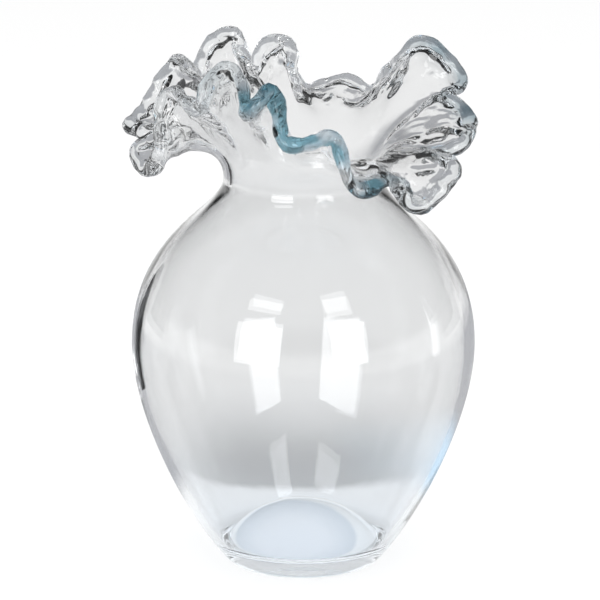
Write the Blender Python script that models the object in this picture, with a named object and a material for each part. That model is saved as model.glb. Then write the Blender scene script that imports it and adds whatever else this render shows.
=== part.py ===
"""A hand-blown glass posy vase with a deeply ruffled mouth.

Two pieces of glass make the real vase. The vessel is one gather, blown and turned, with a thick
flat foot, a short neck and a mouth that was pinched into thirteen folds while soft. The lip wrap
is a thread of aqua glass laid round the edge of that mouth, and it follows every fold.
Z is up, the foot stands on z = 0, and -Y is the side that the photograph shows.
"""

import math

import bmesh
import bpy
import numpy as np

# The turned outside, from the foot up to the neck, in metres
FOOT_RADIUS = 0.029
HEEL_RADIUS = 0.005
HEEL_SWEEP = math.radians(46)
BELLY_RADIUS = 0.070
BELLY_HEIGHT = 0.092
NECK_RADIUS = 0.0323
NECK_HEIGHT = 0.161

# How far each end of the two flank curves holds its direction
FOOT_PULL = 0.018
BELLY_PULL_DOWN = 0.033
BELLY_PULL_UP = 0.0455
NECK_PULL_DOWN = 0.0140

# Glass thickness
WALL = 0.0035
MOUTH_WALL = 0.0034
BASE_THICKNESS = 0.0095

# The hollow's floor: a rounded corner, then a dome that swells up in the middle
FLOOR_CORNER_RISE = 0.003
FLOOR_CORNER_RUN = 0.006
FLOOR_CORNER_PULL_DOWN = 0.0018
FLOOR_CORNER_PULL_OUT = 0.003
FLOOR_CROWN = 0.0135
FLOOR_EDGE_PULL = 0.001
FLOOR_TOP_PULL = 0.021

# The lip wrap and the gap that keeps the two pieces of glass apart
LIP_RADIUS = 0.003
WELD_GAP = 0.0006

# How the mouth's sheet leaves the neck and how it reaches the lip
MOUTH_PULL_UP = 0.016
LIP_PULL = 0.015
LOWEST_ARRIVAL = math.radians(-50)
HIGHEST_ARRIVAL = math.radians(75)
PLEAT_SPREAD = 0.018
FIRE_POLISH = 0.003

# The pinched edge, anticlockwise from above. Each point is the middle of the lip: the angle from
# the front in degrees, the reach beyond the neck and the rise above it. A crest is a fold that
# was pinched up and in, and a trough is one that hangs down and out.
RIM_POINTS = [
    # the hairpin on the left, and the drooping lobe below it
    (-89, 0.0245, 0.0165), (-80, 0.0370, 0.0145), (-72, 0.0330, 0.0070), (-64, 0.0300, 0.0175),
    # two crests on the front left
    (-69, 0.0285, 0.0290), (-67, 0.0255, 0.0400), (-42, 0.0275, 0.0380), (-42, 0.0240, 0.0485),
    (-40, 0.0130, 0.0525), (-28, 0.0175, 0.0470), (-22, 0.0265, 0.0370),
    # two crests with the long blue run between them, at the front
    (-17, 0.0280, 0.0435), (-14, 0.0190, 0.0470), (-9, 0.0255, 0.0375), (-8, 0.0310, 0.0285),
    (1, 0.0280, 0.0270), (13, 0.0205, 0.0290), (15, 0.0260, 0.0200), (18, 0.0315, 0.0090),
    # the low lobe on the front right
    (39, 0.0265, 0.0095), (41, 0.0280, 0.0025), (44, 0.0335, -0.0015), (50, 0.0380, 0.0065),
    (59, 0.0375, 0.0135),
    # two folds on the right
    (71, 0.0205, 0.0130), (81, 0.0335, 0.0170), (99, 0.0325, 0.0270), (106, 0.0260, 0.0295),
    # the tall lobe on the back right
    (113, 0.0385, 0.0325), (128, 0.0295, 0.0485), (138, 0.0285, 0.0395), (155, 0.0350, 0.0215),
    # four crests along the back, with steep right sides
    (161, 0.0250, 0.0290), (179, 0.0335, 0.0215), (185, 0.0280, 0.0315), (187, 0.0225, 0.0445),
    (195, 0.0310, 0.0410), (197, 0.0370, 0.0280), (206, 0.0250, 0.0390), (210, 0.0250, 0.0500),
    (215, 0.0375, 0.0415), (219, 0.0375, 0.0290), (237, 0.0300, 0.0420), (249, 0.0350, 0.0255),
    (262, 0.0385, 0.0180),
]

# Where the neck's first meridian stands, so that the folds run straight down to the neck
NECK_START_ANGLE = math.radians(-95)

# How finely the surfaces are divided
EDGE_COUNT = 160
MOUTH_ROWS = 7
FLANK_ROWS = 7
HEEL_ROWS = 3
FLOOR_ROWS = 6
LIP_BEVEL_STEPS = 2
SPLINE_STEPS = 16
SPREADS_AVERAGED = 4
CLEARING_PASSES = 4
SHARP_EDGE_ANGLE = math.radians(50)


def bezier(start, start_pull, end_pull, end, rows):
    """Points along a cubic curve, without its first point."""
    points = []
    for row in range(1, rows + 1):
        t = row / rows
        points.append((1 - t) ** 3 * start + 3 * (1 - t) ** 2 * t * start_pull
                      + 3 * (1 - t) * t ** 2 * end_pull + t ** 3 * end)
    return points


def heel_end():
    """The point where the rounded heel meets the flank, and the flank's direction there."""
    radius = FOOT_RADIUS + HEEL_RADIUS * math.sin(HEEL_SWEEP)
    height = HEEL_RADIUS * (1 - math.cos(HEEL_SWEEP))
    direction = np.array([math.cos(HEEL_SWEEP), math.sin(HEEL_SWEEP)])
    return np.array([radius, height]), direction


def outer_profile():
    """Radius and height of the outside, from the flat foot's edge to the neck."""
    points = [np.array([FOOT_RADIUS, 0.0])]
    for row in range(1, HEEL_ROWS):
        turn = HEEL_SWEEP * row / HEEL_ROWS
        points.append(np.array([FOOT_RADIUS + HEEL_RADIUS * math.sin(turn),
                                HEEL_RADIUS * (1 - math.cos(turn))]))
    heel, direction = heel_end()
    belly = np.array([BELLY_RADIUS, BELLY_HEIGHT])
    neck = np.array([NECK_RADIUS, NECK_HEIGHT])
    points.append(heel)
    points += bezier(heel, heel + FOOT_PULL * direction,
                     belly - [0, BELLY_PULL_DOWN], belly, FLANK_ROWS)
    points += bezier(belly, belly + [0, BELLY_PULL_UP],
                     neck - [0, NECK_PULL_DOWN], neck, FLANK_ROWS)
    return points


def lower_flank_inside(rows):
    """The hollow's lower flank, one wall inside the outer one, from the belly to the floor's corner."""
    heel, direction = heel_end()
    belly = np.array([BELLY_RADIUS, BELLY_HEIGHT])
    fine_rows = rows * SPLINE_STEPS
    outside = [heel] + bezier(heel, heel + FOOT_PULL * direction,
                              belly - [0, BELLY_PULL_DOWN], belly, fine_rows)
    outside = np.array(outside)
    along = np.gradient(outside, axis=0)
    along /= np.linalg.norm(along, axis=1)[:, None]
    inside = outside + WALL * np.stack([-along[:, 1], along[:, 0]], axis=1)
    corner_height = BASE_THICKNESS + FLOOR_CORNER_RISE
    kept = inside[inside[:, 1] > corner_height]
    corner_radius = np.interp(corner_height, inside[:, 1], inside[:, 0])
    kept = np.vstack([[corner_radius, corner_height], kept])[::-1]
    picks = np.linspace(0, len(kept) - 1, rows + 1).round().astype(int)
    return [kept[pick] for pick in picks]


def inner_profile():
    """Radius and height of the hollow, from the neck down and in over its domed floor."""
    neck = np.array([NECK_RADIUS - WALL, NECK_HEIGHT])
    belly = np.array([BELLY_RADIUS - WALL, BELLY_HEIGHT])
    points = [neck]
    points += bezier(neck, neck - [0, NECK_PULL_DOWN],
                     belly + [0, BELLY_PULL_UP], belly, FLANK_ROWS)
    flank = lower_flank_inside(FLANK_ROWS)
    points += flank[1:]
    corner = flank[-1]
    slope = (corner - flank[-2]) / np.linalg.norm(corner - flank[-2])
    floor_edge = np.array([corner[0] - FLOOR_CORNER_RUN, BASE_THICKNESS])
    points += bezier(corner, corner + slope * FLOOR_CORNER_PULL_DOWN,
                     floor_edge + [FLOOR_CORNER_PULL_OUT, 0], floor_edge, HEEL_ROWS)
    crown = np.array([0, BASE_THICKNESS + FLOOR_CROWN])
    points += bezier(floor_edge, floor_edge - [FLOOR_EDGE_PULL, 0],
                     crown + [FLOOR_TOP_PULL, 0], crown, FLOOR_ROWS)[:-1]
    return points


def on_circle(radius, angle, height):
    """A point at an angle that is counted from the front, -Y, towards +X."""
    return np.array([radius * math.sin(angle), -radius * math.cos(angle), height])


def closed_spline(points, steps):
    """A smooth closed path through the points: a centripetal Catmull-Rom spline."""
    path = []
    count = len(points)
    for index in range(count):
        p0, p1, p2, p3 = (points[(index + shift) % count] for shift in (-1, 0, 1, 2))
        t1 = math.sqrt(np.linalg.norm(p1 - p0))
        t2 = t1 + math.sqrt(np.linalg.norm(p2 - p1))
        t3 = t2 + math.sqrt(np.linalg.norm(p3 - p2))
        for step in range(steps):
            t = t1 + (t2 - t1) * step / steps
            a1 = p0 + (p1 - p0) * t / t1
            a2 = p1 + (p2 - p1) * (t - t1) / (t2 - t1)
            a3 = p2 + (p3 - p2) * (t - t2) / (t3 - t2)
            b1 = a1 + (a2 - a1) * t / t2
            b2 = a2 + (a3 - a2) * (t - t1) / (t3 - t1)
            path.append(b1 + (b2 - b1) * (t - t1) / (t2 - t1))
    return np.array(path)


def evenly_along(path, count):
    """The closed path divided into steps of one length."""
    closed = np.vstack([path, path[:1]])
    lengths = np.linalg.norm(np.diff(closed, axis=0), axis=1)
    travelled = np.concatenate([[0], np.cumsum(lengths)])
    stops = np.arange(count) * travelled[-1] / count
    return np.stack([np.interp(stops, travelled, closed[:, axis]) for axis in range(3)], axis=1)


def softened(points, spread):
    """Each point of a closed path averaged with its neighbours, over a distance along the path."""
    step = np.mean(np.linalg.norm(np.roll(points, -1, axis=0) - points, axis=1))
    reach = math.ceil(SPREADS_AVERAGED * spread / step)
    shifts = range(-reach, reach + 1)
    weights = [math.exp(-0.5 * (shift * step / spread) ** 2) for shift in shifts]
    total = sum(weight * np.roll(points, shift, axis=0) for shift, weight in zip(shifts, weights))
    return total / sum(weights)


def rim_path(count):
    """The middle of the lip, round the whole pinched edge."""
    points = [on_circle(NECK_RADIUS + reach, math.radians(angle), NECK_HEIGHT + rise)
              for angle, reach, rise in RIM_POINTS]
    path = evenly_along(closed_spline(points, SPLINE_STEPS), count)
    return evenly_along(softened(path, FIRE_POLISH), count)


def unit(vectors):
    """Vectors of length one along the last axis."""
    return vectors / np.linalg.norm(vectors, axis=-1, keepdims=True)


def round_trip_tangents(path):
    """Directions along a closed path."""
    return unit(np.roll(path, -1, axis=0) - np.roll(path, 1, axis=0))


def mouth_sheet(rim, rows):
    """The middle of the mouth's sheet: rows of points from the neck to just short of the lip."""
    count = len(rim)
    rises = rim[:, 2] - NECK_HEIGHT
    highest = max(rise for _, _, rise in RIM_POINTS)
    slopes = LOWEST_ARRIVAL + (HIGHEST_ARRIVAL - LOWEST_ARRIVAL) * np.clip(rises / highest, 0, 1)
    outward = unit(rim * [1, 1, 0])
    arrival = outward * np.cos(slopes)[:, None] + np.array([0, 0, 1]) * np.sin(slopes)[:, None]
    lip_pull = softened(rim - arrival * LIP_PULL, PLEAT_SPREAD)
    along = round_trip_tangents(rim)
    arrival = unit(rim - lip_pull)
    square = unit(arrival - along * np.sum(arrival * along, axis=1)[:, None])
    edge = rim - square * (LIP_RADIUS + WELD_GAP)
    neck = np.array([on_circle(NECK_RADIUS - WALL / 2, NECK_START_ANGLE + math.tau * index / count,
                               NECK_HEIGHT) for index in range(count)])
    grid = [neck]
    grid += bezier(neck, neck + [0, 0, MOUTH_PULL_UP], lip_pull, edge, rows)
    return np.array(grid)


def keep_clear(points, path, distance):
    """Points that lie nearer to a closed path than the distance are moved straight out to it."""
    steps = np.roll(path, -1, axis=0) - path
    offsets = points[:, None] - path[None]
    shares = np.sum(offsets * steps, axis=2) / np.sum(steps * steps, axis=1)
    away = offsets - steps * np.clip(shares, 0, 1)[:, :, None]
    gaps = np.linalg.norm(away, axis=2)
    nearest = gaps.argmin(axis=1)
    rows = np.arange(len(points))
    gap = gaps[rows, nearest]
    push = np.maximum(distance - gap, 0) / gap
    return points + away[rows, nearest] * push[:, None]


def sheet_sides(middle, rim):
    """The two faces of the mouth's sheet, half a wall either side of its middle, off the lip."""
    across = np.roll(middle, -1, axis=1) - np.roll(middle, 1, axis=1)
    up = np.gradient(middle, axis=0)
    outward = unit(np.cross(across, up))
    walls = np.linspace(WALL, MOUTH_WALL, len(middle))[:, None, None]
    sides = []
    for side in (middle + outward * walls / 2, middle - outward * walls / 2):
        for _ in range(CLEARING_PASSES):
            side = np.array([keep_clear(row, rim, LIP_RADIUS + WELD_GAP) for row in side])
        sides.append(side)
    return sides


def turned_rings(profile, count):
    """Level rings of points, one for each point of a profile."""
    angles = [NECK_START_ANGLE + math.tau * index / count for index in range(count)]
    return [np.array([on_circle(radius, angle, height) for angle in angles])
            for radius, height in profile]


def join_rings(mesh, lower, upper):
    """Faces between two closed rings, the second with as many points, twice or half as many."""
    count = len(lower)
    if len(upper) == count:
        for index in range(count):
            after = (index + 1) % count
            mesh.faces.new((lower[index], lower[after], upper[after], upper[index]))
    elif len(upper) == 2 * count:
        for index in range(count):
            after = (index + 1) % count
            middle = upper[2 * index + 1]
            mesh.faces.new((lower[index], middle, upper[2 * index]))
            mesh.faces.new((lower[index], lower[after], middle))
            mesh.faces.new((lower[after], upper[2 * after], middle))
    else:
        for index in range(len(upper)):
            after = (index + 1) % len(upper)
            middle = lower[2 * index + 1]
            mesh.faces.new((lower[2 * index], middle, upper[index]))
            mesh.faces.new((middle, upper[after], upper[index]))
            mesh.faces.new((middle, lower[2 * after], upper[after]))


def close_with_pole(mesh, ring, height, facing_down):
    """A fan from a ring to one point on the axis."""
    pole = mesh.verts.new((0, 0, height))
    for index, corner in enumerate(ring):
        after = ring[(index + 1) % len(ring)]
        mesh.faces.new((pole, after, corner) if facing_down else (pole, corner, after))


def build_vessel(material, collection):
    """The blown vessel: outside, sheet edge and hollow as one closed skin."""
    body_count = EDGE_COUNT // 2
    rim = rim_path(EDGE_COUNT)
    outer_side, inner_side = sheet_sides(mouth_sheet(rim, MOUTH_ROWS), rim)
    rings = turned_rings(outer_profile(), body_count)
    rings += list(outer_side[1:])
    rings += list(inner_side[:0:-1])
    rings += turned_rings(inner_profile(), body_count)

    mesh = bmesh.new()
    loops = [[mesh.verts.new(point) for point in ring] for ring in rings]
    for lower, upper in zip(loops, loops[1:]):
        join_rings(mesh, lower, upper)
    close_with_pole(mesh, loops[0], 0.0, facing_down=True)
    close_with_pole(mesh, loops[-1], BASE_THICKNESS + FLOOR_CROWN, facing_down=False)
    data = bpy.data.meshes.new("blown_vessel")
    mesh.to_mesh(data)
    mesh.free()
    data.materials.append(material)
    data.shade_smooth()
    data.set_sharp_from_angle(angle=SHARP_EDGE_ANGLE)
    vessel = bpy.data.objects.new("blown_vessel", data)
    collection.objects.link(vessel)
    return vessel


def build_lip_wrap(material, collection):
    """The aqua thread: a closed tube along the pinched edge."""
    curve = bpy.data.curves.new("lip_wrap", "CURVE")
    curve.dimensions = "3D"
    curve.bevel_depth = LIP_RADIUS
    curve.bevel_resolution = LIP_BEVEL_STEPS
    spline = curve.splines.new("POLY")
    path = rim_path(EDGE_COUNT)
    spline.points.add(len(path) - 1)
    for point, place in zip(spline.points, path):
        point.co = (*place, 1)
    spline.use_cyclic_u = True
    spline.use_smooth = True
    curve.materials.append(material)
    lip = bpy.data.objects.new("lip_wrap", curve)
    collection.objects.link(lip)
    return lip


def glass(name, colour, roughness):
    """A plain glass material."""
    material = bpy.data.materials.new(name)
    material.use_nodes = True
    shader = material.node_tree.nodes["Principled BSDF"]
    shader.inputs["Base Color"].default_value = (*colour, 1)
    shader.inputs["Metallic"].default_value = 0
    shader.inputs["Roughness"].default_value = roughness
    shader.inputs["Transmission Weight"].default_value = 1
    shader.inputs["IOR"].default_value = 1.5
    return material


def main():
    """Clear the scene and build the vase."""
    for leftover in list(bpy.data.objects):
        bpy.data.objects.remove(leftover, do_unlink=True)
    collection = bpy.data.collections.new("ruffled_vase")
    bpy.context.scene.collection.children.link(collection)
    clear_glass = glass("clear_glass", (0.93, 0.96, 0.97), 0.02)
    aqua_glass = glass("aqua_glass", (0.28, 0.48, 0.58), 0.03)
    vessel = build_vessel(clear_glass, collection)
    lip = build_lip_wrap(aqua_glass, collection)
    lip.parent = vessel
    print("rim", round(sum(np.linalg.norm(np.diff(rim_path(EDGE_COUNT), axis=0), axis=1)), 4), "m long")


main()
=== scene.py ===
# %% [markdown]
# # A hand-blown vase with a ruffled mouth
#
# The real vase is two pieces of glass. A gather of clear glass is blown and turned until it has a
# foot, a belly and a neck. A thread of aqua glass is laid round the edge of its mouth, and while
# both are soft the mouth is opened and pinched into folds, so the thread follows every fold.
#
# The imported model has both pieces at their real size, but with flat facets. Glass bends light at
# every facet, so this lesson builds the same surfaces again with fine, smooth rings. Then it
# spends its effort on what makes glass look real: its thickness, its tint and its studio.

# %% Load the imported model
import math

import bpy
import numpy as np
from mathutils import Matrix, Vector, noise


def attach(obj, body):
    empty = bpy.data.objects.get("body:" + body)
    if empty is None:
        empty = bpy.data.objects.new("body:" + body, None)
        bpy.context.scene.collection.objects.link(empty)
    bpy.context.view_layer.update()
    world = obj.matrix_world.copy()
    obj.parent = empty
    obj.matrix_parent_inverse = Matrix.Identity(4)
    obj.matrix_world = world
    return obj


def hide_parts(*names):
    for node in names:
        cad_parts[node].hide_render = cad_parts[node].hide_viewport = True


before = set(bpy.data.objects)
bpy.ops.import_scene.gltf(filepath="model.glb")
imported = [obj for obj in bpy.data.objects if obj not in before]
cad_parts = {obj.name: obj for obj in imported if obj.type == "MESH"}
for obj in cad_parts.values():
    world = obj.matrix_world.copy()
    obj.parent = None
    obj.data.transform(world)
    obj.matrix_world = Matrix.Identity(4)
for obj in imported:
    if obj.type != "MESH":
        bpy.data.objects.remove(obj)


def mm(metres, digits=1):
    """A length in millimetres, for printing."""
    return round(1000 * float(metres), digits)


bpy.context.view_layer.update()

# %% [markdown]
# ## The turned body
#
# A blown body is a solid of revolution, because it turns on the iron all the time. Its outside is
# one smooth line: a heel rolled over the foot, a curve out to the belly and a curve in to the neck.
# Two cubic curves hold that line with few numbers, and each end says how far it keeps its
# direction. A Screw modifier could turn such a line, but here the rings have to run on into the
# folds without a seam, so the rings are computed and joined by hand.

# %% Sizes of the body, in metres
FOOT_RADIUS = 0.029
HEEL_RADIUS = 0.005
HEEL_SWEEP = math.radians(46)
BELLY_RADIUS = 0.070
BELLY_HEIGHT = 0.092
NECK_RADIUS = 0.0323
NECK_HEIGHT = 0.161
FOOT_PULL = 0.018
BELLY_PULL_DOWN = 0.033
BELLY_PULL_UP = 0.0455
NECK_PULL_DOWN = 0.014
WALL = 0.0035
heel_way = np.array([math.cos(HEEL_SWEEP), math.sin(HEEL_SWEEP)])
belly = np.array([BELLY_RADIUS, BELLY_HEIGHT])
neck = np.array([NECK_RADIUS, NECK_HEIGHT])
print("the belly is", round(BELLY_RADIUS / NECK_RADIUS, 2), "times as wide as the neck")


# %% A cubic curve, and the shares of its way
def bezier(start, start_pull, end_pull, end, shares):
    """Points along a cubic curve, at each share of its way."""
    return [(1 - t) ** 3 * start + 3 * (1 - t) ** 2 * t * start_pull
            + 3 * (1 - t) * t ** 2 * end_pull + t ** 3 * end for t in shares]


def steps(count):
    """Equal shares of a way, from the first step to 1."""
    return [step / count for step in range(1, count + 1)]


print("the middle of a cubic curve:", bezier(0.0, 0.2, 0.8, 1.0, [0.5]))

# %% The outside, from the foot to the neck: radius and height of each ring
FLANK_ROWS = 30
HEEL_ROWS = 8


def on_heel(share):
    """A point on the heel's arc."""
    return np.array([FOOT_RADIUS + HEEL_RADIUS * math.sin(HEEL_SWEEP * share),
                     HEEL_RADIUS * (1 - math.cos(HEEL_SWEEP * share))])


def lower_flank(rows):
    """The outside from the heel to the belly."""
    heel_end = on_heel(1)
    return bezier(heel_end, heel_end + FOOT_PULL * heel_way, belly - [0, BELLY_PULL_DOWN], belly,
                  steps(rows))


outside = [on_heel(share) for share in [0] + steps(HEEL_ROWS)]
outside += lower_flank(FLANK_ROWS)
outside += bezier(belly, belly + [0, BELLY_PULL_UP], neck - [0, NECK_PULL_DOWN], neck,
                  steps(FLANK_ROWS))
print("the outside has", len(outside), "rings")

# %% [markdown]
# ## The hollow
#
# The hollow is the air that was blown in. Its wall keeps one thickness up the flanks, but glass
# gathers at the bottom, so the base is much thicker than the wall, and its floor rises to a low
# dome in the middle. That thick base is a lens: it shows the ground underside as a milky disc and
# draws it taller than it is. An offset copy of the outside would give the walls but not the base,
# so the base has curves of its own: a rounded corner, and then the dome.

# %% Sizes of the base, in metres
BASE_THICKNESS = 0.0095
FLOOR_CORNER_RISE = 0.003
FLOOR_CORNER_RUN = 0.006
FLOOR_CORNER_PULL_DOWN = 0.0018
FLOOR_CORNER_PULL_OUT = 0.003
FLOOR_CROWN = 0.0135
FLOOR_EDGE_PULL = 0.001
FLOOR_TOP_PULL = 0.021
FLOOR_ROWS = 36
floor_top = BASE_THICKNESS + FLOOR_CROWN
print("the base is", mm(floor_top), "mm thick in the middle")

# %% The wall's inner face, square to the outer one, down to the floor's corner
FINE_ROWS = 400
flank = np.array([on_heel(1)] + lower_flank(FINE_ROWS))
along = np.gradient(flank, axis=0)
along /= np.linalg.norm(along, axis=1)[:, None]
inside_flank = flank + WALL * np.stack([-along[:, 1], along[:, 0]], axis=1)
corner_height = BASE_THICKNESS + FLOOR_CORNER_RISE
corner_radius = np.interp(corner_height, inside_flank[:, 1], inside_flank[:, 0])
inside_flank = np.vstack([[corner_radius, corner_height],
                          inside_flank[inside_flank[:, 1] > corner_height]])[::-1]
picks = np.linspace(0, len(inside_flank) - 1, FLANK_ROWS + 1).round().astype(int)
corner = inside_flank[-1]
corner_way = inside_flank[-1] - inside_flank[-2]
corner_way /= np.linalg.norm(corner_way)
print("the floor's corner is", mm(corner_radius), "mm from the axis")

# %% The hollow's rings, from the neck down to the crown of the floor
floor_edge = np.array([corner[0] - FLOOR_CORNER_RUN, BASE_THICKNESS])
crown = np.array([0, floor_top])
inside = [neck - [WALL, 0]]
inside += bezier(inside[0], inside[0] - [0, NECK_PULL_DOWN], belly + [-WALL, BELLY_PULL_UP],
                 belly - [WALL, 0], steps(FLANK_ROWS))
inside += [inside_flank[pick] for pick in picks[1:]]
inside += bezier(corner, corner + corner_way * FLOOR_CORNER_PULL_DOWN,
                 floor_edge + [FLOOR_CORNER_PULL_OUT, 0], floor_edge, steps(HEEL_ROWS))
inside += bezier(floor_edge, floor_edge - [FLOOR_EDGE_PULL, 0], crown + [FLOOR_TOP_PULL, 0], crown,
                 steps(FLOOR_ROWS))[:-1]
print("the hollow has", len(inside), "rings")

# %% [markdown]
# ## The pinched edge
#
# A glassmaker pinches the soft mouth with jacks, and each pinch lifts and draws in one fold while
# the glass between two pinches drops and swings out. The edge is a closed path through a few
# chosen points: thirteen folds, each with a crest and a trough. Cloth simulation could make folds,
# but not these folds at these places, so a spline joins chosen points, and a small average along
# the path rounds them the way the flame does.

# %% The edge's points: degrees from the front, reach beyond the neck, rise above it
RIM_POINTS = [
    # the hairpin on the left, and the drooping lobe below it
    (-89, 0.0245, 0.0165), (-80, 0.0370, 0.0145), (-72, 0.0330, 0.0070), (-64, 0.0300, 0.0175),
    # two crests on the front left
    (-69, 0.0285, 0.0290), (-67, 0.0255, 0.0400), (-42, 0.0275, 0.0380), (-42, 0.0240, 0.0485),
    (-40, 0.0130, 0.0525), (-28, 0.0175, 0.0470), (-22, 0.0265, 0.0370),
    # two crests with the long blue run between them, at the front
    (-17, 0.0280, 0.0435), (-14, 0.0190, 0.0470), (-9, 0.0255, 0.0375), (-8, 0.0310, 0.0285),
    (1, 0.0280, 0.0270), (13, 0.0205, 0.0290), (15, 0.0260, 0.0200), (18, 0.0315, 0.0090),
    # the low lobe on the front right
    (39, 0.0265, 0.0095), (41, 0.0280, 0.0025), (44, 0.0335, -0.0015), (50, 0.0380, 0.0065),
    (59, 0.0375, 0.0135),
    # two folds on the right
    (71, 0.0205, 0.0130), (81, 0.0335, 0.0170), (99, 0.0325, 0.0270), (106, 0.0260, 0.0295),
    # the tall lobe on the back right
    (113, 0.0385, 0.0325), (128, 0.0295, 0.0485), (138, 0.0285, 0.0395), (155, 0.0350, 0.0215),
    # four crests along the back, with steep right sides
    (161, 0.0250, 0.0290), (179, 0.0335, 0.0215), (185, 0.0280, 0.0315), (187, 0.0225, 0.0445),
    (195, 0.0310, 0.0410), (197, 0.0370, 0.0280), (206, 0.0250, 0.0390), (210, 0.0250, 0.0500),
    (215, 0.0375, 0.0415), (219, 0.0375, 0.0290), (237, 0.0300, 0.0420), (249, 0.0350, 0.0255),
    (262, 0.0385, 0.0180),
]
highest = max(rise for _, _, rise in RIM_POINTS)
print(len(RIM_POINTS), "points, the highest", mm(highest), "mm above the neck")


# %% A smooth closed path through the points
COLUMNS = 400
SPLINE_STEPS = 24


def on_circle(radius, angle, height):
    """A point at an angle that is counted from the front, -Y, towards +X."""
    return np.array([radius * math.sin(angle), -radius * math.cos(angle), height])


def closed_spline(points, count):
    """A smooth closed path through the points, which makes no loop where two lie close together."""
    path = []
    for index in range(len(points)):
        p0, p1, p2, p3 = (points[(index + shift) % len(points)] for shift in (-1, 0, 1, 2))
        t1 = math.sqrt(np.linalg.norm(p1 - p0))
        t2 = t1 + math.sqrt(np.linalg.norm(p2 - p1))
        t3 = t2 + math.sqrt(np.linalg.norm(p3 - p2))
        for step in range(count):
            t = t1 + (t2 - t1) * step / count
            a1 = p0 + (p1 - p0) * t / t1
            a2 = p1 + (p2 - p1) * (t - t1) / (t2 - t1)
            a3 = p2 + (p3 - p2) * (t - t2) / (t3 - t2)
            b1 = a1 + (a2 - a1) * t / t2
            b2 = a2 + (a3 - a2) * (t - t1) / (t3 - t1)
            path.append(b1 + (b2 - b1) * (t - t1) / (t2 - t1))
    return np.array(path)


def evenly_along(path, count):
    """The closed path divided into steps of one length."""
    closed = np.vstack([path, path[:1]])
    travelled = np.concatenate([[0], np.cumsum(np.linalg.norm(np.diff(closed, axis=0), axis=1))])
    marks = np.arange(count) * travelled[-1] / count
    return np.stack([np.interp(marks, travelled, closed[:, axis]) for axis in range(3)], axis=1)


chosen = [on_circle(NECK_RADIUS + reach, math.radians(angle), NECK_HEIGHT + rise)
          for angle, reach, rise in RIM_POINTS]
rim = evenly_along(closed_spline(chosen, SPLINE_STEPS), COLUMNS)
print("the path has", len(rim), "points,", mm(np.linalg.norm(rim[1] - rim[0]), 2), "mm apart")

# %% The flame's rounding
SPREADS_AVERAGED = 4
FIRE_POLISH = 0.003


def softened(points, spread):
    """Each point of a closed path averaged with its neighbours, over a distance along the path."""
    step = np.mean(np.linalg.norm(np.roll(points, -1, axis=0) - points, axis=1))
    reach = math.ceil(SPREADS_AVERAGED * spread / step)
    shifts = range(-reach, reach + 1)
    weights = [math.exp(-0.5 * (shift * step / spread) ** 2) for shift in shifts]
    total = sum(weight * np.roll(points, shift, axis=0) for shift, weight in zip(shifts, weights))
    return total / sum(weights)


rim = evenly_along(softened(rim, FIRE_POLISH), COLUMNS)
rim_length = np.sum(np.linalg.norm(np.diff(rim, axis=0), axis=1))
print("the pinched edge is", mm(rim_length, 0), "mm long")

# %% [markdown]
# ## The mouth's sheet
#
# Between the neck and the lip the glass is one sheet. Each line of the sheet leaves the neck
# straight up and arrives at the lip in its own direction: drooping where the edge is low, nearly
# upright where it is high. The sheet could be sculpted, but then it would be hard to keep its wall
# even and to move a fold later. A cubic curve for each column makes it here, and the direction at
# the lip is averaged along the edge, because a thick sheet can't crease.

# %% The direction in which each line of the sheet arrives at the lip
LIP_PULL = 0.015
LOWEST_ARRIVAL = math.radians(-50)
HIGHEST_ARRIVAL = math.radians(75)
PLEAT_SPREAD = 0.018


def unit(vectors):
    """Vectors of length one along the last axis."""
    return vectors / np.linalg.norm(vectors, axis=-1, keepdims=True)


rises = rim[:, 2] - NECK_HEIGHT
slopes = LOWEST_ARRIVAL + (HIGHEST_ARRIVAL - LOWEST_ARRIVAL) * np.clip(rises / highest, 0, 1)
outward = unit(rim * [1, 1, 0])
arrival = outward * np.cos(slopes)[:, None] + np.array([0, 0, 1]) * np.sin(slopes)[:, None]
lip_pull = softened(rim - arrival * LIP_PULL, PLEAT_SPREAD)
print("the lip points from", round(math.degrees(slopes.min())), "to",
      round(math.degrees(slopes.max())), "degrees above level")

# %% The middle of the sheet, from the neck to the middle of the lip
MOUTH_PULL_UP = 0.016
NECK_START_ANGLE = math.radians(-95)
SHEET_FINE_ROWS = 160


def turned_ring(radius, height):
    """A level ring of points."""
    return np.array([on_circle(radius, NECK_START_ANGLE + math.tau * index / COLUMNS, height)
                     for index in range(COLUMNS)])


neck_ring = turned_ring(NECK_RADIUS - WALL / 2, NECK_HEIGHT)
fine_sheet = np.array([neck_ring] + bezier(neck_ring, neck_ring + [0, 0, MOUTH_PULL_UP], lip_pull,
                                           rim, steps(SHEET_FINE_ROWS)))
lengths = np.linalg.norm(np.diff(fine_sheet, axis=0), axis=2)
from_lip = np.vstack([np.cumsum(lengths[::-1], axis=0)[::-1], np.zeros((1, COLUMNS))])
print("the sheet's lines are", mm(from_lip[0].min()), "to", mm(from_lip[0].max()), "mm long")

# %% [markdown]
# ## The lip
#
# The thread is 6 mm thick and the sheet little more than half of that. In the flame the two melt
# together, so no crease is left: the sheet swells over its last few millimetres and runs into the
# round of the thread. A Solidify modifier would give one thickness everywhere. Here the sheet's
# half thickness is a function of the distance from the middle of the thread.

# %% How thick the sheet is at each distance from the thread's middle
LIP_RADIUS = 0.003
WELD_ANGLE = math.radians(30)
FILLET_END = 0.012


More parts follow.
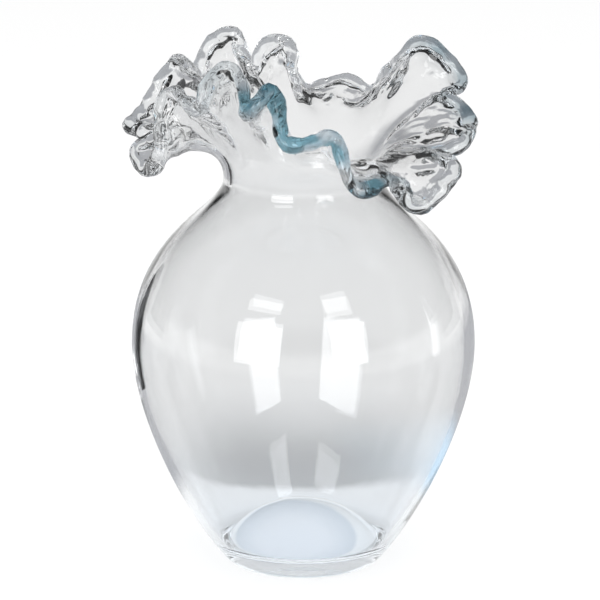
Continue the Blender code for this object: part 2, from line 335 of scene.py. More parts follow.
def half_thickness(distance, thin):
    """Half the thickness at a distance from the thread's middle. Far from it, that is thin."""
    weld = LIP_RADIUS * math.sin(WELD_ANGLE)
    if distance <= weld:
        return math.sqrt(LIP_RADIUS ** 2 - distance ** 2)
    start = LIP_RADIUS * math.cos(WELD_ANGLE)
    start_slope = -math.tan(WELD_ANGLE) * (FILLET_END - weld)
    t = min((distance - weld) / (FILLET_END - weld), 1)
    return ((2 * t ** 3 - 3 * t ** 2 + 1) * start + (t ** 3 - 2 * t ** 2 + t) * start_slope
            + (3 * t ** 2 - 2 * t ** 3) * thin)


for distance in (0, LIP_RADIUS, FILLET_END):
    print(mm(distance), "mm below the thread's middle the glass is",
          mm(2 * half_thickness(distance, WALL / 2)), "mm thick")

# %% The sheet's rows, close together near the lip
SHEET_ROWS = 26
LIP_STOPS = [0.0005, 0.0010, 0.0015, 0.0022, 0.0031, 0.0042, 0.0055, 0.0070, 0.0085, 0.0102, 0.0120]
WELD_ROW = 3

stops = np.zeros((SHEET_ROWS + len(LIP_STOPS) + 1, COLUMNS))
shares_up = np.linspace(0, 1, SHEET_ROWS + 1)[:, None]
stops[:SHEET_ROWS + 1] = from_lip[0] + (LIP_STOPS[-1] - from_lip[0]) * shares_up
for row, stop in enumerate(LIP_STOPS[-2::-1]):
    stops[SHEET_ROWS + 1 + row] = stop
middle = np.zeros((len(stops), COLUMNS, 3))
for column in range(COLUMNS):
    known = from_lip[::-1, column]
    for axis in range(3):
        middle[:, column, axis] = np.interp(stops[:, column], known, fine_sheet[::-1, column, axis])
print("the sheet has", len(stops), "rows")

# %% [markdown]
# ## The marks of the jacks
#
# Glass that is pinched while it is soft doesn't stay even. It crumples into short swells across
# the fold, and it is squeezed thin in one place and left thick in the next. These marks carry the
# sparkle of a ruffle, because each swell is a small lens. Layered noise makes them: one pattern
# moves the middle of the sheet, and another changes its thickness. Both fade out down the sheet,
# where the glass was already too stiff to be marked. A Displace modifier could move the faces, but
# it would not know the middle of the sheet, and the wall could come out thinner than real glass.

# %% Layered noise over the sheet
FLOW_LENGTH = 0.010
FLOW_REACH = 0.024
LAYERS = 3
LAYER_FALL = 1.0
LAYER_STEP = 2.0
SQUEEZE_SHIFT = 7.3


def jack_marks(shift):
    """Swells at every point of the sheet: long ones, with shorter and lower ones on them."""
    aside = Vector((0, 0, shift))
    return np.array([[noise.fractal(Vector(place) / FLOW_LENGTH + aside, LAYER_FALL, LAYER_STEP,
                                    LAYERS) for place in row] for row in middle])


flown = jack_marks(0)
squeezed = jack_marks(SQUEEZE_SHIFT)
print("swells from", round(float(flown.min()), 2), "to", round(float(flown.max()), 2))

# %% The sheet with its marks, and its two faces
MOUTH_WALL = 0.0034
FLOW_DEPTH = 0.0026
SQUEEZE = 0.5

tangents = np.roll(middle, -1, axis=1) - np.roll(middle, 1, axis=1)
facing = unit(np.cross(tangents, np.gradient(middle, axis=0)))
walls = np.linspace(WALL, MOUTH_WALL, len(stops)) / 2
half = np.array([[half_thickness(stop, wall) for stop in row] for row, wall in zip(stops, walls)])
fading = np.clip(1 - stops / FLOW_REACH, 0, 1)
off_the_thread = np.clip(stops / LIP_STOPS[WELD_ROW], 0, 1)
middle = middle + facing * (FLOW_DEPTH * flown * fading * off_the_thread)[:, :, None]
half = half * (1 + SQUEEZE * squeezed * fading)
outer_sheet = middle + facing * half[:, :, None]
inner_sheet = middle - facing * half[:, :, None]
print("the sheet is", mm(2 * half.min()), "mm thick at its thinnest")
print("the thread is up to", mm(2 * half.max()), "mm thick")

# %% The round of the lip
CAP_STEPS = 12
rim_along = unit(tangents[-1])
rim_out = unit(np.cross(facing[-1], rim_along))
cap = [rim + half[-1][:, None] * (math.cos(turn) * facing[-1] + math.sin(turn) * rim_out)
       for turn in np.linspace(0, math.pi, CAP_STEPS + 1)]
print("the round has", len(cap), "rings")

# %% [markdown]
# ## One skin, parted at the weld
#
# Light sees no surface between two glasses that were melted together. If the vessel and the thread
# were two closed solids that touch, each would bounce light off the wall between them, and the
# lip would look like a ring of wire. So the whole vase is made as one skin first, with normals
# that run smoothly over the weld. Then the skin is parted along the weld line into two pieces,
# which share that line and keep the normals of the whole.

# %% All rings, from the foot over the lip to the floor of the hollow
FOOT_RINGS = [0.006, 0.014, 0.022, 0.0275]

rings = [turned_ring(radius, 0.0) for radius in FOOT_RINGS]
rings += [turned_ring(*point) for point in outside]
first_sheet_ring = len(rings)
rings += list(outer_sheet[1:-1])
rings += cap
rings += list(inner_sheet[-2:0:-1])
rings += [turned_ring(*point) for point in inside]
lip_ring = first_sheet_ring + len(outer_sheet) - 2
weld_rings = (lip_ring - WELD_ROW, lip_ring + CAP_STEPS + WELD_ROW)
points = np.concatenate(rings + [[[0, 0, 0]], [[0, 0, floor_top]]])
foot_pole = len(rings) * COLUMNS
floor_pole = foot_pole + 1
print(len(rings), "rings and", len(points), "points")


# %% Faces between the rings, in the order of the rings
def skin_faces(first, last):
    """Four-sided faces between the rings from first to last."""
    faces = []
    for ring in range(first, last):
        low = ring * COLUMNS
        for column in range(COLUMNS):
            after = (column + 1) % COLUMNS
            faces.append((low + column, low + after, low + COLUMNS + after, low + COLUMNS + column))
    return faces


def fan(pole, ring, facing_down):
    """Triangles from a ring to a point on the axis."""
    low = ring * COLUMNS
    pairs = [(low + column, low + (column + 1) % COLUMNS) for column in range(COLUMNS)]
    return [(pole, b, a) if facing_down else (pole, a, b) for a, b in pairs]


vessel_faces = fan(foot_pole, 0, True) + skin_faces(0, weld_rings[0])
vessel_faces += skin_faces(weld_rings[1], len(rings) - 1) + fan(floor_pole, len(rings) - 1, False)
lip_faces = skin_faces(*weld_rings)
print(len(vessel_faces), "faces on the vessel and", len(lip_faces), "on the thread")

# %% [markdown]
# ## The hand in hand-blown
#
# Breath, wooden blocks and gravity leave a blown wall slightly uneven. The waves are only tenths
# of a millimetre deep and centimetres long, but they bend every reflection a little. The two faces
# of the wall get different waves, so the wall's thickness varies and acts as a weak lens. A Bump
# node could bend the reflections too, but it would leave the thickness as it is. The foot is
# ground flat, so the waves fade out towards it.

# %% Waves in the outer and the inner face
WAVE_LENGTH = 0.034
OUTER_WAVE = 0.00010
INNER_WAVE = 0.00022
STILL_BELOW = 0.004
WAVY_ABOVE = 0.025
INNER_SHIFT = 40


def vertex_normals(places, faces):
    """The normals of a mesh with smooth shading."""
    mesh = bpy.data.meshes.new("measuring")
    mesh.from_pydata(places, [], faces)
    normals = np.zeros(len(places) * 3)
    mesh.vertex_normals.foreach_get("vector", normals)
    bpy.data.meshes.remove(mesh)
    return normals.reshape(-1, 3)


normals = vertex_normals(points, vessel_faces + lip_faces)
hollow_from = (lip_ring + CAP_STEPS // 2) * COLUMNS
for index, (place, normal) in enumerate(zip(points, normals)):
    hollow = index >= hollow_from and index != foot_pole
    depth = INNER_WAVE if hollow else OUTER_WAVE
    share = min(max((place[2] - STILL_BELOW) / (WAVY_ABOVE - STILL_BELOW), 0), 1)
    spot = Vector(place) / WAVE_LENGTH + Vector((0, 0, INNER_SHIFT if hollow else 0))
    points[index] = place + normal * depth * share * noise.noise(spot)
normals = vertex_normals(points, vessel_faces + lip_faces)
print("waves up to", mm(INNER_WAVE, 2), "mm deep")


# %% The two pieces, each with the whole skin's normals
def points_of(faces):
    """The numbers of the points that these faces use, in order."""
    return sorted({corner for face in faces for corner in face})


def piece(name, faces):
    """A mesh object from part of the skin."""
    used = points_of(faces)
    place_of = {old: new for new, old in enumerate(used)}
    mesh = bpy.data.meshes.new(name)
    mesh.from_pydata(points[used], [], [[place_of[corner] for corner in face] for face in faces])
    mesh.shade_smooth()
    mesh.normals_split_custom_set_from_vertices(normals[used])
    made = bpy.data.objects.new(name, mesh)
    bpy.context.scene.collection.objects.link(made)
    return made


vessel = piece("vessel_glass", vessel_faces)
lip = piece("lip_thread", lip_faces)
for made, node, slot in ((vessel, "blown_vessel", "clear_glass"), (lip, "lip_wrap", "aqua_glass")):
    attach(made, "root")
    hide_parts(node)
    print(made.name, len(made.data.polygons), "faces")

# %% [markdown]
# ## Where the aqua shows
#
# The thread was drawn out by hand, so its colour is uneven. It is strong along the front run and
# thins out to almost nothing elsewhere, and within the run it breaks into streaks. A share from 0
# to 1 is kept on every point of both pieces, as an attribute that the materials read. Painting an
# image could do the same, but an attribute needs no unwrapping, and here it follows the edge: by
# the angle round the vase, and by the distance from the thread.

# %% How much aqua the thread holds at each angle, in degrees from the front
AQUA_BY_ANGLE = [(-180, 0.10), (-95, 0.10), (-60, 0.08), (-38, 0.30), (-22, 0.60), (-12, 1.10),
                 (18, 1.15), (27, 0.80), (37, 0.45), (45, 0.12), (60, 0.10), (75, 0.35),
                 (100, 0.50), (125, 0.40), (150, 0.08), (180, 0.10)]
STRONG = 0.5

rim_angles = np.degrees(np.arctan2(rim[:, 0], -rim[:, 1]))
aqua_of_column = np.interp(rim_angles, *zip(*AQUA_BY_ANGLE))
print("strong aqua on", round(100 * float((aqua_of_column > STRONG).mean())), "% of the edge")

# %% The share of aqua on every point
STREAK_LENGTH = 0.011
STREAKINESS = 1.1
BLEED = 0.6
BLEED_REACH = 0.010
THREAD_EDGE = 0.9  # the weld line itself is left to the bleed

aqua = np.zeros(len(points))
below_lip = np.concatenate([stops[1:-1], np.zeros((CAP_STEPS + 1, COLUMNS)), stops[-2:0:-1]])
weld_stop = LIP_STOPS[WELD_ROW - 1]
for row, distances in enumerate(below_lip):
    first = (first_sheet_ring + row) * COLUMNS
    streaks = np.array([noise.noise(Vector(place) / STREAK_LENGTH)
                        for place in points[first:first + COLUMNS]])
    held = np.clip(aqua_of_column * (1 + STREAKINESS * streaks), 0, 1)
    fade = BLEED * np.clip(1 - (distances - weld_stop) / BLEED_REACH, 0, 1) ** 2
    on_thread = distances < weld_stop * THREAD_EDGE
    aqua[first:first + COLUMNS] = held * np.where(on_thread, 1.0, fade)


def keep_share(made, faces, name, shares):
    """A share on every point of a piece, under a name that a material can read."""
    attribute = made.data.attributes.new(name, "FLOAT", "POINT")
    attribute.data.foreach_set("value", shares[points_of(faces)])


keep_share(vessel, vessel_faces, "aqua", aqua)
keep_share(lip, lip_faces, "aqua", aqua)
print("the most aqua on a point is", round(float(aqua.max()), 2))

# %% [markdown]
# ## Two effects that all the glass shares
#
# Clear glass is never quite colourless, and glass that was worked by hand is never quite smooth.
# Both glasses show the first effect, and all three finishes show the second, each in its own
# measure. Each effect is therefore a node group, built once: it takes named values in and gives a
# colour, a height or a roughness out, and the shader itself stays in the material. The same nodes
# could be copied into each material, but then a change would have to be made in each of them.

# %% A new group with named inputs and outputs
FLOAT, COLOUR = "NodeSocketFloat", "NodeSocketColor"


def new_group(name, inputs, outputs):
    """An empty node group, and its own input and output nodes."""
    group = bpy.data.node_groups.new(name, "ShaderNodeTree")
    for label, kind, value in inputs:
        group.interface.new_socket(name=label, in_out="INPUT", socket_type=kind).default_value = value
    for label, kind in outputs:
        group.interface.new_socket(name=label, in_out="OUTPUT", socket_type=kind)
    return group, group.nodes.new("NodeGroupInput"), group.nodes.new("NodeGroupOutput")


def place_group(tree, group, values):
    """The group as one node of a material, with this material's own values."""
    node = tree.nodes.new("ShaderNodeGroup")
    node.node_tree = group
    for label, value in values.items():
        node.inputs[label].default_value = (*value, 1) if isinstance(value, tuple) else value
    return node


print("a group here takes and gives", FLOAT, "and", COLOUR)


# %% Small helpers for nodes
MIX_SHARE, FIRST_COLOUR, SECOND_COLOUR, MIXED_COLOUR = 0, 6, 7, 2


def mixed(tree, share, first, second):
    """The first colour where the share is 0, and the second where it is 1."""
    mix = tree.nodes.new("ShaderNodeMix")
    mix.data_type = "RGBA"
    tree.links.new(share, mix.inputs[MIX_SHARE])
    for place, colour in ((FIRST_COLOUR, first), (SECOND_COLOUR, second)):
        if isinstance(colour, tuple):
            mix.inputs[place].default_value = (*colour, 1)
        else:
            tree.links.new(colour, mix.inputs[place])
    return mix.outputs[MIXED_COLOUR]


def soft_step(tree, value, start, end, low=0.0, high=1.0):
    """From low to high while the value goes from start to end, without a kink."""
    step = tree.nodes.new("ShaderNodeMapRange")
    step.interpolation_type = "SMOOTHSTEP"
    tree.links.new(value, step.inputs["Value"])
    for label, bound in (("From Min", start), ("From Max", end), ("To Min", low), ("To Max", high)):
        if isinstance(bound, (int, float)):
            step.inputs[label].default_value = bound
        else:
            tree.links.new(bound, step.inputs[label])
    return step.outputs[0]


def height_in(tree):
    """The height of the point that is being shaded."""
    geometry = tree.nodes.new("ShaderNodeNewGeometry")
    parts = tree.nodes.new("ShaderNodeSeparateXYZ")
    tree.links.new(geometry.outputs["Position"], parts.inputs[0])
    return parts.outputs["Z"]


QUARTER = 0.25
print("a soft step has reached", 3 * QUARTER ** 2 - 2 * QUARTER ** 3, "after a quarter of its way")


# %% The first group: the tint of glass that gets thicker downwards and holds some aqua
tint_group, given, result = new_group(
    "tint_by_thickness",
    [("Base Tint", COLOUR, (1, 1, 1, 1)), ("Wall Tint", COLOUR, (1, 1, 1, 1)),
     ("Thread Tint", COLOUR, (1, 1, 1, 1)), ("Thread Share", FLOAT, 0.0),
     ("Base Below", FLOAT, 0.0), ("Wall Above", FLOAT, 1.0)],
    [("Tint", COLOUR)])
up = soft_step(tint_group, height_in(tint_group), given.outputs["Base Below"],
               given.outputs["Wall Above"])
clear = mixed(tint_group, up, given.outputs["Base Tint"], given.outputs["Wall Tint"])
tinted = mixed(tint_group, given.outputs["Thread Share"], clear, given.outputs["Thread Tint"])
tint_group.links.new(tinted, result.inputs["Tint"])
print(tint_group.name, "has", len(tint_group.nodes), "nodes")

# %% The second group: the faint marks of the hand, as a height and a roughness
MARKED, UNMARKED = 0.62, 0.42
marks_group, given, result = new_group(
    "marks_of_the_hand",
    [("Swell Scale", FLOAT, 80.0), ("Film Scale", FLOAT, 60.0),
     ("Smoothest", FLOAT, 0.0), ("Roughest", FLOAT, 0.01)],
    [("Height", FLOAT), ("Roughness", FLOAT)])
geometry = marks_group.nodes.new("ShaderNodeNewGeometry")
swells = marks_group.nodes.new("ShaderNodeTexNoise")
film = marks_group.nodes.new("ShaderNodeTexNoise")
for texture, label in ((swells, "Swell Scale"), (film, "Film Scale")):
    marks_group.links.new(geometry.outputs["Position"], texture.inputs["Vector"])
    marks_group.links.new(given.outputs[label], texture.inputs["Scale"])
rougher = soft_step(marks_group, film.outputs[0], UNMARKED, MARKED, given.outputs["Smoothest"],
                    given.outputs["Roughest"])
marks_group.links.new(swells.outputs[0], result.inputs["Height"])
marks_group.links.new(rougher, result.inputs["Roughness"])
print(marks_group.name, "has", len(marks_group.nodes), "nodes")

# %% [markdown]
# ## Clear glass and aqua glass
#
# Both are polished by the flame, so nothing but clear reflections is seen on them. Their tint is
# the Base Color of a fully transmitting Principled BSDF, which colours a ray each time that it
# crosses a face: the wall comes out faintly grey, the thick base faintly blue and the thread aqua.
# A volume would colour by the real path length, but it needs closed solids, and these two pieces
# share one skin. Cycles treats a shadow through glass as black, so rays from the lamps go straight
# through instead, and the vase throws a pale shadow.

# %% A glass finish
BASE_TINT = (0.90, 0.93, 0.96)
CLEAR_TINT = (0.885, 0.89, 0.893)
AQUA_TINT = (0.05, 0.165, 0.225)
SHADOW_TINT = (0.94, 0.955, 0.965)
BASE_BELOW = 0.012
WALL_ABOVE = 0.065
GLASS_IOR = 1.5


def let_through(tree, shader, share, tint):
    """Where the share is 1, a ray goes straight through the surface and takes on a tint."""
    open_way = tree.nodes.new("ShaderNodeBsdfTransparent")
    open_way.inputs["Color"].default_value = (*tint, 1)
    either = tree.nodes.new("ShaderNodeMixShader")
    tree.links.new(share, either.inputs[0])
    tree.links.new(shader.outputs[0], either.inputs[1])
    tree.links.new(open_way.outputs[0], either.inputs[2])
    tree.links.new(either.outputs[0], tree.nodes["Material Output"].inputs["Surface"])


def new_finish(name):
    """A new material, its node tree and its shader."""
    material = bpy.data.materials.new(name)
    material.use_nodes = True
    return material, material.node_tree, material.node_tree.nodes["Principled BSDF"]


def worked_surface(tree, shader, marks, depth):
    """The marks of the hand on a shader's roughness and normal."""
    node = place_group(tree, marks_group, marks)
    bump = tree.nodes.new("ShaderNodeBump")
    bump.inputs["Strength"].default_value = 1.0
    bump.inputs["Distance"].default_value = depth
    tree.links.new(node.outputs["Height"], bump.inputs["Height"])
    tree.links.new(bump.outputs["Normal"], shader.inputs["Normal"])
    tree.links.new(node.outputs["Roughness"], shader.inputs["Roughness"])


print("this glass bends light by an index of", GLASS_IOR)


# %% The two glasses, each with its own measure of both effects
def glass(name, marks, depth):
    """Clear glass with a blue cast in the thick base and aqua where the attribute says so."""
    material, tree, shader = new_finish(name)
    share = tree.nodes.new("ShaderNodeAttribute")
    share.attribute_name = "aqua"
    tint = place_group(tree, tint_group,
                       {"Base Tint": BASE_TINT, "Wall Tint": CLEAR_TINT, "Thread Tint": AQUA_TINT,
                        "Base Below": BASE_BELOW, "Wall Above": WALL_ABOVE})
    tree.links.new(share.outputs["Fac"], tint.inputs["Thread Share"])
    tree.links.new(tint.outputs["Tint"], shader.inputs["Base Color"])
    shader.inputs["Transmission Weight"].default_value = 1.0
    shader.inputs["IOR"].default_value = GLASS_IOR
    worked_surface(tree, shader, marks, depth)
    path = tree.nodes.new("ShaderNodeLightPath")
    let_through(tree, shader, path.outputs["Is Shadow Ray"], SHADOW_TINT)
    return material


WALL_MARKS = {"Swell Scale": 70.0, "Film Scale": 45.0, "Smoothest": 0.0, "Roughest": 0.012}
THREAD_MARKS = {"Swell Scale": 160.0, "Film Scale": 90.0, "Smoothest": 0.0, "Roughest": 0.008}
WALL_SWELL, THREAD_SWELL = 0.00005, 0.00003
vessel.data.materials.append(glass("clear_glass_finish", WALL_MARKS, WALL_SWELL))
lip.data.materials.append(glass("aqua_glass_finish", THREAD_MARKS, THREAD_SWELL))
print([slot.name for made in (vessel, lip) for slot in made.material_slots])

# %% [markdown]
# ## The ground underside
#
# The foot was ground flat on a wheel after the vase had cooled. Grinding leaves thousands of tiny
# pits that scatter light, so the underside is milky and matt, and through the thick base it shows
# as a pale disc with a fuller rim. Rough transmission would be the exact way, but it is slow under
# so much glass and turns dark, so the pits are a matt surface with a fine grain.

# %% The ground finish, by the distance from the middle of the disc
GROUND_RADIUS = 0.0275
DISC_CENTRE = (-0.003, 0, 0)
GROUND_TINTS = [(0.40, (0.93, 0.94, 0.97)), (0.70, (0.76, 0.80, 0.85)), (0.75, (1.0, 1.0, 1.0))]
GROUND_MARKS = {"Swell Scale": 1600.0, "Film Scale": 120.0, "Smoothest": 0.5, "Roughest": 0.7}
PIT_DEPTH = 0.00002


def milky_rings(tree):
    """A colour that changes with the distance from the middle of the disc."""
    geometry = tree.nodes.new("ShaderNodeNewGeometry")
    distance = tree.nodes.new("ShaderNodeVectorMath")
    distance.operation = "DISTANCE"
    distance.inputs[1].default_value = DISC_CENTRE
    tree.links.new(geometry.outputs["Position"], distance.inputs[0])
    share = tree.nodes.new("ShaderNodeMath")
    share.operation = "DIVIDE"
    share.inputs[1].default_value = GROUND_RADIUS
    tree.links.new(distance.outputs["Value"], share.inputs[0])
    ramp = tree.nodes.new("ShaderNodeValToRGB")
    ramp.color_ramp.elements.remove(ramp.color_ramp.elements[0])
    for index, (reach, tint) in enumerate(GROUND_TINTS):
        stop = ramp.color_ramp.elements[0] if index == 0 else ramp.color_ramp.elements.new(reach)
        stop.position = reach
        stop.color = (*tint, 1)
    tree.links.new(share.outputs[0], ramp.inputs[0])
    return ramp.outputs["Color"]


ground, tree, shader = new_finish("ground_glass_finish")
tree.links.new(milky_rings(tree), shader.inputs["Base Color"])
shader.inputs["IOR"].default_value = GLASS_IOR
worked_surface(tree, shader, GROUND_MARKS, PIT_DEPTH)
vessel.data.materials.append(ground)
print("made", ground.name)

# %% The faces that the wheel reached
ON_THE_GROUND = 1e-5
ground_faces = 0
for polygon in vessel.data.polygons:
    if polygon.center.z < ON_THE_GROUND and polygon.center.xy.length < GROUND_RADIUS:
        polygon.material_index = 1
        ground_faces += 1
print(ground_faces, "faces of ground glass")

# %% [markdown]
# ## The studio
#
# Glass has no look of its own: it shows the room. The room here is a white table in front of a
# white backdrop that gets dark above, the way a product table stands in a dim studio. The table
# and the backdrop are white by their own colour as rays through the glass, reflections and the
# camera see them, and the light that falls on the object stays at a plain level. Light Path says
# which kind of ray asks. A picture of a real studio could stand in for the room, but here each
# light and each dark patch can be moved on its own until the glass looks right.

# %% The kinds of rays that see the room
SEEING_RAYS = ("Is Camera Ray", "Is Glossy Ray", "Is Transmission Ray")


def maths(tree, operation, *values):
    """The result of one sum, with links or numbers as its terms."""
    node = tree.nodes.new("ShaderNodeMath")
    node.operation = operation
    for socket, value in zip(node.inputs, values):
        if isinstance(value, (int, float)):
            socket.default_value = value
        else:
            tree.links.new(value, socket)
    return node.outputs[0]


def ray_share(tree, kinds):
    """One where a ray is of any of these kinds."""
    path = tree.nodes.new("ShaderNodeLightPath")
    share = path.outputs[kinds[0]]
    for kind in kinds[1:]:
        share = maths(tree, "MAXIMUM", share, path.outputs[kind])
    return share


def face_share(tree, faces):
    """One where a ray has crossed more faces of glass than these."""
    path = tree.nodes.new("ShaderNodeLightPath")
    return maths(tree, "GREATER_THAN", path.outputs["Transmission Depth"], faces)


print("the room is seen by", len(SEEING_RAYS), "kinds of rays")

# %% The backdrop, as the world
AMBIENT = 0.8
ROOM_SHADE = 0.03
WHITE = (1.0, 1.0, 1.0)
WHITE_BELOW = math.radians(1)
DARK_ABOVE = math.radians(8)


def grey(level):
    """A colour without any hue."""
    return (level, level, level)


world = bpy.data.worlds.new("studio")
bpy.context.scene.world = world
world.use_nodes = True
tree = world.node_tree
direction = tree.nodes.new("ShaderNodeTexCoord")
parts = tree.nodes.new("ShaderNodeSeparateXYZ")
tree.links.new(direction.outputs["Generated"], parts.inputs[0])
rising = soft_step(tree, parts.outputs["Z"], math.sin(WHITE_BELOW), math.sin(DARK_ABOVE))
room = mixed(tree, rising, WHITE, grey(ROOM_SHADE))
seen = mixed(tree, ray_share(tree, ("Is Camera Ray",)), room, WHITE)
lit = mixed(tree, ray_share(tree, SEEING_RAYS), grey(AMBIENT), seen)
tree.links.new(lit, tree.nodes["Background"].inputs["Color"])
print("the backdrop is dark from", round(math.degrees(DARK_ABOVE)), "degrees up")

# %% [markdown]
# ## The table
#
# The table is a sheet of matt paper. A glass vase throws a soft patch of shade on it, just behind
# the foot and round it. The paper here has a glow of its own that would drown this patch, so the
# glow is a little lower there as a painted shade, and only rays that went through glass see that.
# It gives the lower body its grey and the foot its edge, and the paper itself stays white. Darker
# paper would do the same, but then the ground of the picture would turn grey too. A wider and
# softer ring of painted shade is for mirrored rays alone, those that crossed one wall at most: it
# greys the flanks, which mirror the table at a low angle, and it can't be seen straight through the
# vase. Close by on the right the ring is blue and not grey, a painted reflection that gives that
# flank its blue cast.

# %% The paper and its glow
FLOOR_GAP = 0.0003
FLOOR_SIZE = 12.0
PAPER_GREY = 0.22
PAPER_ROUGHNESS = 0.9
PAPER_GLOW = 0.72


def matt(shader, level, roughness):
    """A grey that mirrors nothing."""
    shader.inputs["Base Color"].default_value = (*grey(level), 1)
    shader.inputs["Roughness"].default_value = roughness
    shader.inputs["Specular IOR Level"].default_value = 0.0


bpy.ops.mesh.primitive_plane_add(size=FLOOR_SIZE, location=(0, 0, -FLOOR_GAP))
floor = bpy.context.object
floor.name = "floor"
paper, tree, shader = new_finish("white_paper")
floor.data.materials.append(paper)
matt(shader, PAPER_GREY, PAPER_ROUGHNESS)
print("the paper is", FLOOR_SIZE, "m wide")

# %% The shade behind the vase and round its foot, from start to end in metres
SHADE_DEPTH = 0.60
SHADE_NEAR = (0.078, 0.092)
SHADE_FAR = (0.24, 0.12)
SHADE_SIDE = (0.090, 0.025)
CONTACT_DEPTH = 0.30
CONTACT_REACH = (0.060, 0.034)

geometry = tree.nodes.new("ShaderNodeNewGeometry")
spot = tree.nodes.new("ShaderNodeSeparateXYZ")
from_axis = tree.nodes.new("ShaderNodeVectorMath")
from_axis.operation = "LENGTH"
tree.links.new(geometry.outputs["Position"], spot.inputs[0])
tree.links.new(geometry.outputs["Position"], from_axis.inputs[0])
through_glass = ray_share(tree, ("Is Transmission Ray",))
sideways = maths(tree, "ABSOLUTE", spot.outputs["X"])
shade = maths(tree, "MULTIPLY", soft_step(tree, spot.outputs["Y"], *SHADE_NEAR),
              soft_step(tree, spot.outputs["Y"], *SHADE_FAR))
shade = maths(tree, "MULTIPLY", shade, soft_step(tree, sideways, *SHADE_SIDE))
contact = soft_step(tree, from_axis.outputs["Value"], *CONTACT_REACH)


def dimmed(glow, darkening, seers, depth):
    """The glow with a shade on it that only some rays see."""
    taken = maths(tree, "MULTIPLY", maths(tree, "MULTIPLY", darkening, seers), depth)
    return maths(tree, "MULTIPLY", glow, maths(tree, "SUBTRACT", 1.0, taken))


glow = maths(tree, "MULTIPLY", ray_share(tree, SEEING_RAYS), PAPER_GLOW)
glow = dimmed(glow, shade, through_glass, SHADE_DEPTH)
glow = dimmed(glow, contact, through_glass, CONTACT_DEPTH)
tree.links.new(glow, shader.inputs["Emission Strength"])
print("the shade behind the vase takes", round(100 * SHADE_DEPTH), "% of the glow")

# %% The ring of shade for mirrored rays, which is blue close by on the right
RING_NEAR = (0.070, 0.105)
RING_FAR = (0.75, 0.55)
RING_GREY = (0.24, 0.25, 0.28)
RING_BLUE = (0.50, 0.76, 1.0)
BLUE_SIDE = (0.02, 0.08)
BLUE_REACH = (0.19, 0.12)
ONE_WALL = 2

around = maths(tree, "MULTIPLY", soft_step(tree, from_axis.outputs["Value"], *RING_NEAR),
               soft_step(tree, from_axis.outputs["Value"], *RING_FAR))
mirrored = maths(tree, "SUBTRACT", ray_share(tree, ("Is Glossy Ray", "Is Transmission Ray")),
                 face_share(tree, ONE_WALL))
# painted reflection: close by on the right the ring is blue, which gives that flank a blue cast
blue = maths(tree, "MULTIPLY", soft_step(tree, spot.outputs["X"], *BLUE_SIDE),
             soft_step(tree, from_axis.outputs["Value"], *BLUE_REACH))
ring_colour = mixed(tree, blue, RING_GREY, RING_BLUE)
# painted shade and painted blue reflection in the paper's glow, seen only by mirrored rays
mirrored_shade_colour = mixed(tree, maths(tree, "MULTIPLY", around, mirrored), WHITE, ring_colour)
tree.links.new(mirrored_shade_colour, shader.inputs["Emission Color"])
print("the ring of shade lies between", RING_NEAR[0], "and", RING_FAR[0], "m from the axis")

# %% [markdown]
# ## Lamps
#
# Two tall soft boxes, one on either side of the camera and each with a short one above it, give
# the bright windows on the belly, and a narrow one far to the right gives the thin line near the
# edge. The large box overhead lights the ground disc and the table, and the glass doesn't show it.
# Point lamps would light the vase as well, but glass would mirror them as dots. Each box is set by
# the two angles that it fills and by its radiance, because then its distance can change without
# changing the picture.


# %% Placing things round the vase
VASE_MIDDLE = (0, 0, 0.11)


def turned_to(place, target):
    """The turn that points an object's -Z at a target."""
    return (Vector(target) - Vector(place)).to_track_quat("-Z", "Y")


def polar(azimuth, elevation, distance, centre=VASE_MIDDLE):
    """A place round the vase: azimuth from the front towards +X, in degrees."""
    a, e = math.radians(azimuth), math.radians(elevation)
    way = Vector((math.sin(a) * math.cos(e), -math.cos(a) * math.cos(e), math.sin(e)))
    return Vector(centre) + way * distance


def stand(name, data, azimuth, elevation, distance):
    """An object that stands round the vase and faces it, which the camera doesn't see."""
    made = bpy.data.objects.new(name, data)
    made.location = polar(azimuth, elevation, distance)
    made.rotation_mode = "QUATERNION"
    made.rotation_quaternion = turned_to(made.location, VASE_MIDDLE)
    made.visible_camera = False
    bpy.context.scene.collection.objects.link(made)
    return made


print("the middle of the vase is", VASE_MIDDLE[2], "m up")


# %% The soft boxes: azimuths and elevations in degrees, distance in metres, radiance
def softbox(name, azimuths, elevations, distance, radiance):
    """A rectangular lamp between two azimuths and two elevations."""
    lamp = bpy.data.lights.new(name, "AREA")
    lamp.shape = "RECTANGLE"
    lamp.size = 2 * distance * math.tan(math.radians(azimuths[1] - azimuths[0]) / 2)
    lamp.size_y = 2 * distance * math.tan(math.radians(elevations[1] - elevations[0]) / 2)
    lamp.energy = radiance * math.pi * lamp.size * lamp.size_y
    return stand(name, lamp, sum(azimuths) / 2, sum(elevations) / 2, distance)


WINDOWS = [
    ("window_left", (-46, -15), (-2.5, 26), 2.2, 4.5),
    ("window_left_top", (-42, -20), (35, 44), 2.2, 3.0),
    ("window_right", (20, 43), (-2.5, 26), 2.2, 4.5),
    ("window_right_top", (20, 36), (33, 47), 2.2, 3.0),
    ("window_far_right", (91, 98), (-10, 13), 0.6, 1.5),
]
for window in WINDOWS:
    softbox(*window)
overhead = softbox("overhead", (-25, 25), (60, 95), 2.0, 5.0)
overhead.visible_glossy = False
overhead.visible_transmission = False
print(len(WINDOWS), "windows and one box overhead")

# %% [markdown]
# ## Black cards
#
# Clear glass on a white table has no outline until something dark stands beside it. A
# photographer stands black cards just outside the picture, and the glass draws them as dark lines
# along its edges and in its folds. Such lines could be painted on, but painted lines would stay in
# their place when the vase is turned. A card is seen by reflections and by rays through the glass,
# but it takes no light away. Two small oval ones stand close: one gives the long dark line down
# the left side and the other darkens the neck a little. They are gone for rays that crossed more
# than one wall, so from other sides they don't show through the vase.

# %% The cards: azimuth, elevation, distance, width, height, shade, corners, faces seen through
RECTANGLE, OVAL = 4, 32
MATT = 1.0


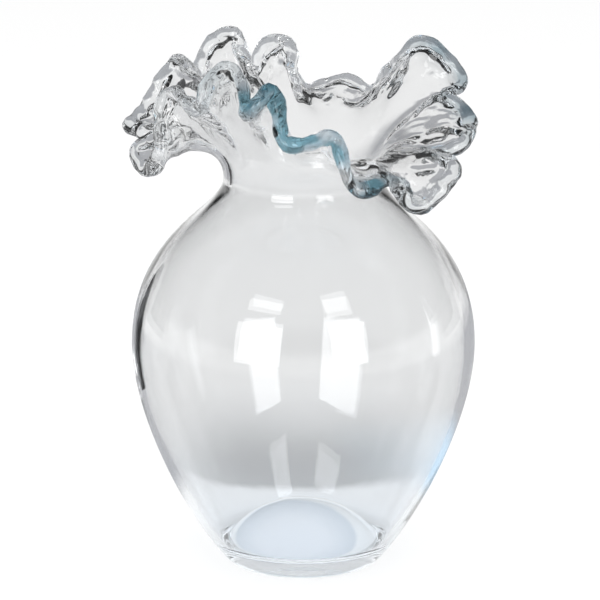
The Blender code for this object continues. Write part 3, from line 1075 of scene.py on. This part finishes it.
def card(name, azimuth, elevation, distance, width, height, shade, corners=RECTANGLE, faces=None):
    """A flat card. Where faces is given, rays that crossed more faces than that miss the card."""
    reach = 0.5 * (math.sqrt(2) if corners == RECTANGLE else 1)
    turns = [math.tau * (corner + 0.5) / corners for corner in range(corners)]
    mesh = bpy.data.meshes.new(name)
    mesh.from_pydata([(width * reach * math.cos(turn), height * reach * math.sin(turn), 0)
                      for turn in turns], [], [tuple(range(corners))])
    made = stand(name, mesh, azimuth, elevation, distance)
    material, tree, shader = new_finish(name)
    if faces is not None:
        let_through(tree, shader, face_share(tree, faces), WHITE)
    matt(shader, shade, MATT)
    mesh.materials.append(material)
    made.visible_diffuse = False
    made.visible_shadow = False


CARDS = [
    ("flag_left", -118, 10, 1.2, 0.55, 0.9, 0.25),
    ("flag_right", 118, 10, 1.2, 0.55, 0.9, 0.25),
    ("strip_left", -131, -12, 0.24, 0.070, 0.160, 0.02, OVAL, ONE_WALL),
    ("strip_neck", -146, 24, 0.20, 0.040, 0.040, 0.02, OVAL, ONE_WALL),
    ("flag_near_left", -110, 19, 0.40, 0.28, 0.20, 0.05),
    ("flag_near_right", 110, 19, 0.40, 0.28, 0.20, 0.05),
]
for row in CARDS:
    card(*row)
print(len(CARDS), "cards stand round the vase")

# %% [markdown]
# ## The camera
#
# A long lens from a metre and a half away keeps the foot and the mouth in proportion. A short lens
# from close by would show the whole vase too, but the mouth would look too wide for the foot. The
# camera looks down by nearly sixteen degrees, so the mouth opens to an oval. Light goes round
# inside a glass wall many times before it leaves, and each turn is a bounce: with too few, the
# edges go black.

# %% The camera and the bounces
CAMERA_DISTANCE = 1.5
CAMERA_DROP = 15.76
CAMERA_CENTRE = (0, 0, 0.1)
CAMERA_AIM = (-0.00135, 0, 0.1094)
LENS = 220.4
SENSOR = 36
BOUNCES = 96

camera_data = bpy.data.cameras.new("camera")
camera_data.sensor_width = SENSOR
camera_data.lens = LENS
camera = bpy.data.objects.new("camera", camera_data)
camera.location = polar(0, CAMERA_DROP, CAMERA_DISTANCE, CAMERA_CENTRE)
camera.rotation_mode = "QUATERNION"
camera.rotation_quaternion = turned_to(camera.location, CAMERA_AIM)
bpy.context.scene.collection.objects.link(camera)
bpy.context.scene.camera = camera
bpy.context.scene.view_settings.view_transform = "Standard"
cycles = bpy.context.scene.cycles
cycles.max_bounces = cycles.transmission_bounces = cycles.glossy_bounces = BOUNCES
print("camera at", [round(value, 3) for value in camera.location])
